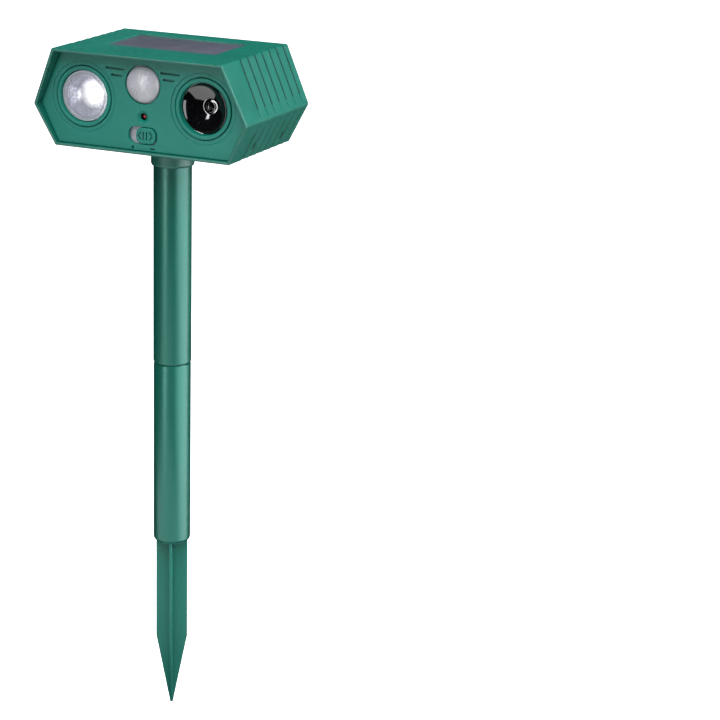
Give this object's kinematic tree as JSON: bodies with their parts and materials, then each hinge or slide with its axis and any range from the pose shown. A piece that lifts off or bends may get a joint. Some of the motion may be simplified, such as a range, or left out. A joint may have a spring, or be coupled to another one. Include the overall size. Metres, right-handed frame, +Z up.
{
  "type": "ultrasonic pest repeller",
  "caption": "Solar garden pest repeller: six-sided head with light, motion eye and ultrasonic speaker on a two-part pole with a cross-vaned ground spike.",
  "frame": {"origin": "on the pole's axis at the ground line, where the spike's round shoulder meets the lower tube", "axes": "+Z up the pole, the head's front faces -Y, its rear cover faces +Y, +X is towards the speaker"},
  "size_m": [0.1426, 0.0894, 0.4283],
  "materials": {
    "spike_green": "satin green moulded plastic with flow marks",
    "pole_green": "smooth satin green extruded plastic",
    "head_green": "satin green moulded plastic, fine grain",
    "panel_green": "satin green moulded plastic, fine grain",
    "black_rubber": "matt black rubber",
    "solar_cell": "dark purple-grey cell under clear resin, fine silver lines",
    "clear_lens": "clear moulded lens, polished",
    "mirror_cup": "bright vacuum-metallised plastic",
    "led_body": "white emitter under clear silicone, lit",
    "white_board": "white solder mask on aluminium",
    "circuit_board": "green solder mask",
    "gloss_black": "polished black plastic",
    "motor_grey": "dark grey can",
    "milky_lens": "milky translucent lens, faceted",
    "sensor_can": "plated metal can",
    "red_led": "red diffused resin",
    "black_plastic": "matt black plastic",
    "light_grey": "light grey satin plastic",
    "bright_metal": "bright plated steel",
    "black_chip": "black epoxy",
    "copper_coil": "enamelled copper winding",
    "capacitor_sleeve": "dark blue shrink sleeve",
    "cell_sleeve": "blue-green shrink sleeve, plain",
    "red_wire": "red insulation",
    "black_wire": "black insulation",
    "white_wire": "white insulation"
  },
  "bodies": {
    "spike": {"ground_spike": "spike_green"},
    "lower_pole": {"lower_tube": "pole_green"},
    "upper_pole": {"upper_tube": "pole_green"},
    "head": {"housing": "head_green", "front_panel": "panel_green", "rear_cover": "head_green", "panel_gasket": "black_rubber", "cover_gasket": "black_rubber", "solar_panel": "solar_cell", "solar_seal": "black_rubber", "led_bezel": "panel_green", "led_lens": "clear_lens", "led_reflector": "mirror_cup", "led_board": "white_board", "led_emitter": "led_body", "speaker_bezel": "panel_green", "speaker_horn": "gloss_black", "speaker_dome": "gloss_black", "speaker_motor": "motor_grey", "pir_lens": "milky_lens", "pir_sensor": "sensor_can", "indicator_led": "red_led", "indicator_spacer": "black_plastic", "switch_plate": "light_grey", "slide_switch_body": "bright_metal", "main_board": "circuit_board", "controller_chip": "black_chip", "driver_coil": "copper_coil", "capacitor_1": "capacitor_sleeve", "capacitor_2": "capacitor_sleeve", "battery_holder": "black_plastic", "battery_contact": "bright_metal", "charge_socket": "bright_metal", "charge_board": "circuit_board", "solar_wire": "red_wire", "battery_wire": "red_wire", "led_wire": "white_wire", "speaker_wire": "black_wire", "charge_wire": "black_wire", "cover_screw_1": "bright_metal", "board_screw_1": "bright_metal", "cover_screw_2": "bright_metal", "board_screw_2": "bright_metal", "cover_screw_3": "bright_metal", "board_screw_3": "bright_metal", "cover_screw_4": "bright_metal", "board_screw_4": "bright_metal", "battery_cell_1": "cell_sleeve", "battery_spring_1": "bright_metal", "battery_cell_2": "cell_sleeve", "battery_spring_2": "bright_metal", "battery_cell_3": "cell_sleeve", "battery_spring_3": "bright_metal"},
    "knob": {"switch_knob": "panel_green", "slide_switch_lever": "black_plastic"},
    "plug": {"charge_plug": "black_rubber"}
  },
  "joints": [
    {"name": "lower_tube_pull", "type": "slide", "parent": "spike", "child": "lower_pole", "axis": [0, 0, 1], "range_m": [0, 0.022]},
    {"name": "upper_tube_pull", "type": "slide", "parent": "lower_pole", "child": "upper_pole", "axis": [0, 0, 1], "range_m": [0, 0.02]},
    {"name": "head_swivel", "type": "hinge", "parent": "upper_pole", "child": "head", "pos_m": [0, 0, 0.2485], "axis": [0, 0, 1], "continuous": true},
    {"name": "switch_slide", "type": "slide", "parent": "head", "child": "knob", "axis": [-1, 0, 0], "range_m": [0, 0.0043]},
    {"name": "charge_plug_pull", "type": "slide", "parent": "head", "child": "plug", "axis": [0, 1, 0], "range_m": [0, 0.008]}
  ]
}
